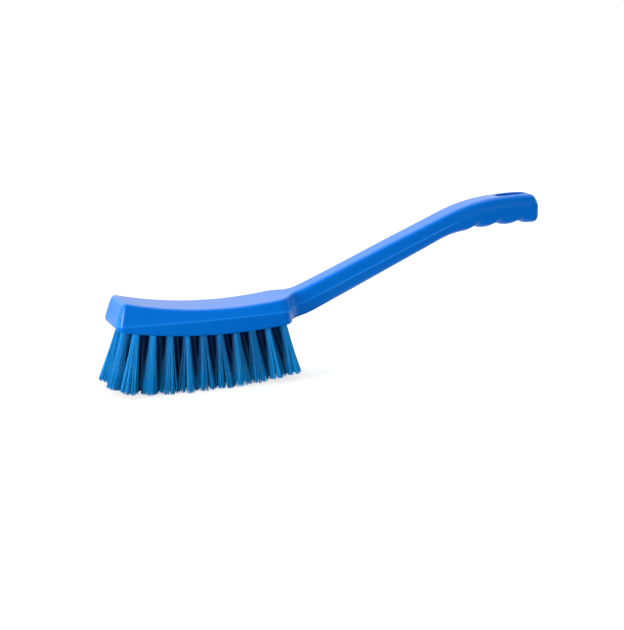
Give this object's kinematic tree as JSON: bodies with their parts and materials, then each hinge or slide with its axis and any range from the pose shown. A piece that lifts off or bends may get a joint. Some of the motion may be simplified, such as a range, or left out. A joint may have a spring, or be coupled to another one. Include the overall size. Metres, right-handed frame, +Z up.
{
  "type": "long-handle cleaning brush",
  "caption": "Long-handled scrubbing brush: one-piece moulded block and handle with finger scallops and a hanging slot, filled with fanned, trimmed filament tufts.",
  "frame": {"origin": "bottom centre of the brush's box, in the plane of the trimmed bristle tips that it stands on", "axes": "+X along the brush from the block's front end to the grip, +Z up from the bristle tips to the block, Y across the brush, which is symmetric about Y = 0"},
  "size_m": [0.4192, 0.0652, 0.1467],
  "materials": {
    "moulding_blue": "satin injection-moulded polypropylene",
    "filament_blue": "satin drawn polyester filament"
  },
  "bodies": {
    "root": {"brush_body": "moulding_blue", "tuft_row1_01": "filament_blue", "tuft_row1_02": "filament_blue", "tuft_row1_03": "filament_blue", "tuft_row1_04": "filament_blue", "tuft_row1_05": "filament_blue", "tuft_row1_06": "filament_blue", "tuft_row1_07": "filament_blue", "tuft_row1_08": "filament_blue", "tuft_row1_09": "filament_blue", "tuft_row1_10": "filament_blue", "tuft_row2_01": "filament_blue", "tuft_row2_02": "filament_blue", "tuft_row2_03": "filament_blue", "tuft_row2_04": "filament_blue", "tuft_row2_05": "filament_blue", "tuft_row2_06": "filament_blue", "tuft_row2_07": "filament_blue", "tuft_row2_08": "filament_blue", "tuft_row2_09": "filament_blue", "tuft_row2_10": "filament_blue", "tuft_row3_01": "filament_blue", "tuft_row3_02": "filament_blue", "tuft_row3_03": "filament_blue", "tuft_row3_04": "filament_blue", "tuft_row3_05": "filament_blue", "tuft_row3_06": "filament_blue", "tuft_row3_07": "filament_blue", "tuft_row3_08": "filament_blue", "tuft_row3_09": "filament_blue", "tuft_row3_10": "filament_blue", "tuft_row4_01": "filament_blue", "tuft_row4_02": "filament_blue", "tuft_row4_03": "filament_blue", "tuft_row4_04": "filament_blue", "tuft_row4_05": "filament_blue", "tuft_row4_06": "filament_blue", "tuft_row4_07": "filament_blue", "tuft_row4_08": "filament_blue", "tuft_row4_09": "filament_blue", "tuft_row4_10": "filament_blue", "tuft_row5_01": "filament_blue", "tuft_row5_02": "filament_blue", "tuft_row5_03": "filament_blue", "tuft_row5_04": "filament_blue", "tuft_row5_05": "filament_blue", "tuft_row5_06": "filament_blue", "tuft_row5_07": "filament_blue", "tuft_row5_08": "filament_blue", "tuft_row5_09": "filament_blue", "tuft_row5_10": "filament_blue"}
  },
  "joints": []
}
